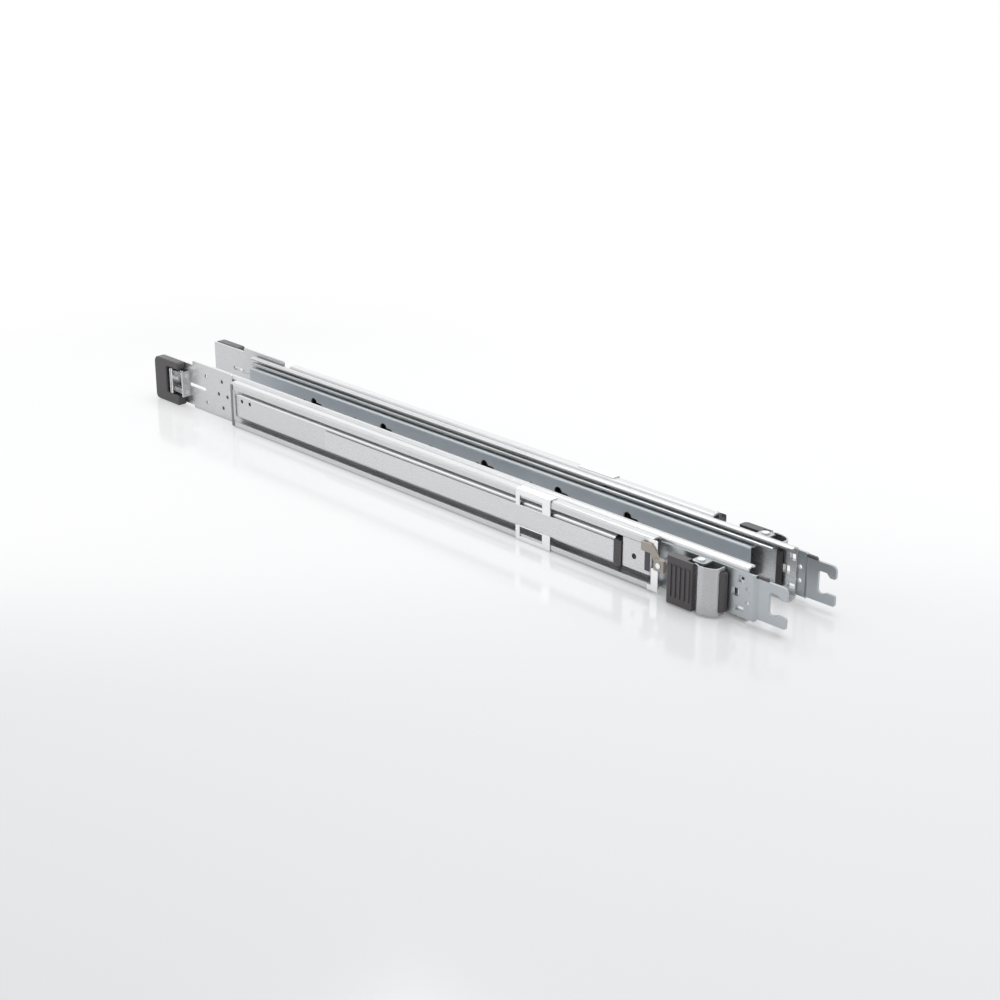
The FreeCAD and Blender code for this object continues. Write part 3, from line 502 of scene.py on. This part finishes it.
def moulded(name, dark, light, smooth, dull):
    """Moulded plastic: a fine grain in colour and bump, and a soft satin surface."""
    return from_group(name, mould, dark, light, smooth, dull,
                      edge_radius=0.0004, bump_depth=0.00006)


black_nylon = moulded("black_nylon", dark=(0.05, 0.045, 0.048), light=(0.095, 0.088, 0.09),
                      smooth=0.3, dull=0.45)
finish_nodes(black_nylon, "stop_block")
# Painted shade: this grey only colours the bar that stands for the shadow gap at the channel's rear
# mouth.
gap_shade_grey = moulded("gap_shade_grey", dark=(0.22, 0.22, 0.23), light=(0.30, 0.30, 0.31),
                     smooth=0.4, dull=0.55)


def fixed(piece, finish):
    """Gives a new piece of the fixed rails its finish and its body."""
    piece.data.materials.append(finish)
    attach(piece, "fixed_rails")


# Two bright keepers are welded to the channel's lips above and below the lever. A thin black pad
# paints the shadow at the channel's front end, and a grey bar paints the shadow gap across the
# channel's rear mouth.
upper_keeper = rounded([(253.6, 28.4, 0.8), (259.6, 28.4, 0.8), (259.6, 41.7, 1.0),
                        (250.4, 41.7, 0.8), (250.4, 37.4, 0.8), (253.6, 37.4, 0.6)])
lower_keeper = rounded([(250.0, 1.3, 0.8), (260.4, 1.3, 0.8), (260.4, 19.4, 1.0),
                        (253.6, 19.4, 0.8), (253.6, 5.4, 0.6), (250.0, 5.4, 0.8)])
end_shade_pad = rounded([(247.2, 15.6, 0.5), (252.3, 15.6, 0.5),
                    (252.3, 32.6, 0.5), (247.2, 32.6, 0.5)])
gap_shade_bar = rounded([(-253.4, 1.4, 0.8), (-250.6, 1.4, 0.8),
                    (-250.6, 40.6, 0.8), (-253.4, 40.6, 0.8)])
lip_face = 38.02

# All start at the lips' outer face. Each row gives the piece, its outline, its own outer face, its
# rounded edge, its finish and its slot.
# The black pad and the grey bar paint shade: thin dark sheets put where the channel's front and
# rear ends lie in shadow.
lip_pieces = (("upper_keeper", upper_keeper, 38.5, 0.12, bright, "bright_steel"),
              ("lower_keeper", lower_keeper, 38.5, 0.12, bright, "bright_steel"),
              ("end_shade_pad", end_shade_pad, 38.48, 0.1, black_nylon, "dark_plastic"),
              ("gap_shade_bar", gap_shade_bar, 38.7, 0.2, gap_shade_grey, "dark_plastic"))
for side, outward in both_sides:
    for name, outline, outer_face, edge, finish, slot in lip_pieces:
        fixed(pressed(side + name, outline, lip_face, outer_face, edge, outward), finish)
finish_nodes(zinc, "latch_base")
beige_nylon = moulded("beige_nylon", dark=(0.40, 0.355, 0.31), light=(0.5, 0.45, 0.40),
                      smooth=0.35, dull=0.5)
finish_nodes(beige_nylon, "lock_lever")
finish_nodes(bright, "lock_pivot")


# Front bracket and latch.
# The bracket is heavier zinc sheet that ends in the hook for the rack post. The latch is a bright
# curved lever on a pin, with a black ribbed grip, a black claw and a leaf spring behind it.
plate_zinc = steel("plate_zinc", dark=(0.42, 0.45, 0.47), light=(0.50, 0.53, 0.55),
                   smooth=0.26, dull=0.4, gap_shade=0.4, metallic=0.85)
finish_nodes(plate_zinc, "front_bracket")
leaf_steel = steel("leaf_steel", dark=(0.45, 0.45, 0.46), light=(0.54, 0.54, 0.55),
                   smooth=0.18, dull=0.3, gap_shade=0.5)
finish_nodes(leaf_steel, "latch_leaf")
finish_nodes(bright, "latch_pivot")
finish_nodes(black_nylon, "latch_grip", "latch_claw")

# A bright angle riveted to the bracket stops the grip's rear end, and a black strip on the top edge
# of the hook plate behind the hook paints the shadow gap between the hook plate and the web plate.
grip_stop = rounded([(269.0, 30.62, 0.2), (269.8, 30.62, 0.2), (269.8, 37.0, 0.3),
                     (271.8, 37.0, 0.3), (271.8, 37.8, 0.3), (269.0, 37.8, 0.9)])
hook_shade_cap = rounded([(344.4, 36.5, 0.5), (353.6, 36.5, 0.5),
                    (352.8, 38.6, 0.8), (344.4, 38.8, 0.8)])
for side, outward in both_sides:
    stop = pressed(side + "grip_stop", grip_stop, low=6.0, high=26.0, edge=0.1,
                   outward=outward, upright=True)
    cap = pressed(side + "hook_shade_cap", hook_shade_cap, low=26.4, high=28.8, edge=0.2, outward=outward)
    fixed(stop, bright)
    fixed(cap, black_nylon)


def ribbon(centre, thick):
    """Outline of a thin strip: its centre line moved half of its thickness to one side, and back
    along the line moved as far to the other side."""
    ahead = np.gradient(centre, axis=0)
    ahead /= np.linalg.norm(ahead, axis=1)[:, None]
    aside = np.stack([-ahead[:, 1], ahead[:, 0]], axis=-1) * thick / 2.0
    return np.concatenate([centre - aside, (centre + aside)[::-1]])


# The leaf spring is a bent strip of spring steel. Its foot is spot-welded to the bracket, and its
# belly is a parabola between foot and tip: x = peak + rise s^2 and y = middle + reach s, for s from
# -1 to 1.
peak, rise = 281.2, 4.0
middle, reach = 36.1, 5.2
foot_start, foot_end, foot_face = 293.0, 286.0, 30.82
foot_steps, belly_steps = 8, 21
leaf_thick = 0.0004
belly = np.linspace(-1.0, 1.0, belly_steps)
bend = np.stack([peak + rise * belly ** 2, middle + reach * belly], axis=-1)
foot = np.linspace((foot_start, foot_face), (foot_end, foot_face), foot_steps)
spring_line = ribbon(np.concatenate([foot, bend]) / per_metre, leaf_thick)
for side, outward in both_sides:
    spring = pressed(side + "leaf_spring", spring_line, low=9.0, high=15.0, edge=0.05,
                     outward=outward, upright=True)
    fixed(spring, bright)
    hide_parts(side + "latch_spring")
    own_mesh(spring)


# Rear bracket, guard and pins.
# The zinc plate slides in the channel. The black guard on its end covers two turned steel pins with
# a yoke between them, and a coil spring of round wire pushes each pin out.
finish_nodes(zinc, "extension_bracket")
guard_outline = rounded([(-370.5, 0.4, 5.0), (-334.2, 0.4, 2.0), (-333.4, 9.9, 1.6),
                         (-352.0, 9.9, 1.5), (-352.0, 35.1, 1.5), (-333.4, 35.1, 1.6),
                         (-334.2, 41.6, 2.5), (-370.5, 41.6, 6.0)])

# The pins' bores are drilled through the guard, each by a cylinder along the rail.
pin_aside = 0.0348
pin_heights = (0.01456, 0.03044)
bore_middle, bore_half, bore_radius = -0.361, 0.012, 0.0032
bore_side = [(0.0, -bore_half), (bore_radius, -bore_half),
             (bore_radius, bore_half), (0.0, bore_half)]
for side, outward in both_sides:
    guard = pressed(side + "pin_guard", guard_outline, low=30.35, high=39.5, edge=0.9,
                    outward=outward)
    bore_centres = [(bore_middle, outward * pin_aside, height) for height in pin_heights]
    drill = turned("pin_drill", bore_side, bore_centres, along_rail, around=24)
    bore = guard.modifiers.new("bore", "BOOLEAN")
    bore.operation = "DIFFERENCE"
    bore.solver = "EXACT"
    bore.object = drill
    drilled = guard.evaluated_get(bpy.context.evaluated_depsgraph_get())
    guard_mesh = bpy.data.meshes.new_from_object(drilled)
    guard.modifiers.clear()
    guard.data = guard_mesh
    shade(guard_mesh, crisp_edge)
    bpy.data.objects.remove(drill)
    guard_mesh.materials.clear()
    guard_mesh.materials.append(black_nylon)
    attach(guard, side + "extension")
    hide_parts(side + "rear_guard")
finish_nodes(ball_steel, "rear_pins")
finish_nodes(bright, "pin_yoke")


def coil(name, start, end, centres, radius, wire, turns, sections=10, around=18):
    """Coil springs along X, one at each (y, z) centre. The wire's middle runs at x from start to
    end and (radius * cos t, radius * sin t), and its skin is a circle of the wire's radius square
    to it. A point at each end closes the wire."""
    steps = int(turns * around) + 1
    turn = np.linspace(0.0, 2.0 * math.pi * turns, steps)
    rise = (end - start - 2.0 * wire) / (2.0 * math.pi * turns)
    outward = np.stack([np.zeros(steps), np.cos(turn), np.sin(turn)], axis=-1)
    middle = radius * outward
    middle[:, 0] = start + wire + rise * turn
    forward = np.stack([np.full(steps, rise), -radius * np.sin(turn), radius * np.cos(turn)],
                       axis=-1)
    forward /= np.linalg.norm(forward, axis=1)[:, None]
    across = np.cross(forward, outward)
    angle = np.linspace(0.0, 2.0 * math.pi, sections, endpoint=False)
    skin = middle[:, None] + wire * (np.cos(angle)[None, :, None] * outward[:, None]
                                     + np.sin(angle)[None, :, None] * across[:, None])
    one = np.concatenate([skin.reshape(-1, 3), middle[[0, -1]]])
    index = np.arange(steps * sections).reshape(steps, sections)
    next_one = np.roll(index, -1, axis=1)
    quads = np.stack([index[:-1], index[1:], next_one[1:], next_one[:-1]], axis=-1).reshape(-1, 4)
    first, last = steps * sections, steps * sections + 1
    caps = np.concatenate([np.stack([np.full(sections, first), index[0], next_one[0]], axis=-1),
                           np.stack([np.full(sections, last), next_one[-1], index[-1]], axis=-1)])
    return repeated(name, one, quads, caps, [(0.0, y, z) for y, z in centres])


spring_wire = steel("spring_wire", dark=(0.62, 0.62, 0.63), light=(0.76, 0.76, 0.77),
                    smooth=0.14, dull=0.26, gap_shade=0.5, metallic=1.0)
for side, outward in both_sides:
    low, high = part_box(side + "pin_springs")
    pins = [(outward * pin_aside, height) for height in pin_heights]
    springs = coil(side + "coil_springs", low[0], high[0], pins,
                   radius=0.00305, wire=0.00035, turns=7.0)
    springs.data.materials.append(spring_wire)
    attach(springs, side + "extension")
    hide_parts(side + "pin_springs")
    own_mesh(springs)


# Rubber stops.
# A thick block at the closed end of the slide and a thin one at its mouth soften the stops. Both
# are moulded in black rubber.
rubber = moulded("stop_rubber", dark=(0.035, 0.034, 0.035), light=(0.065, 0.063, 0.065),
                 smooth=0.5, dull=0.7)
finish_nodes(rubber, "rear_bumper", "front_bumper")
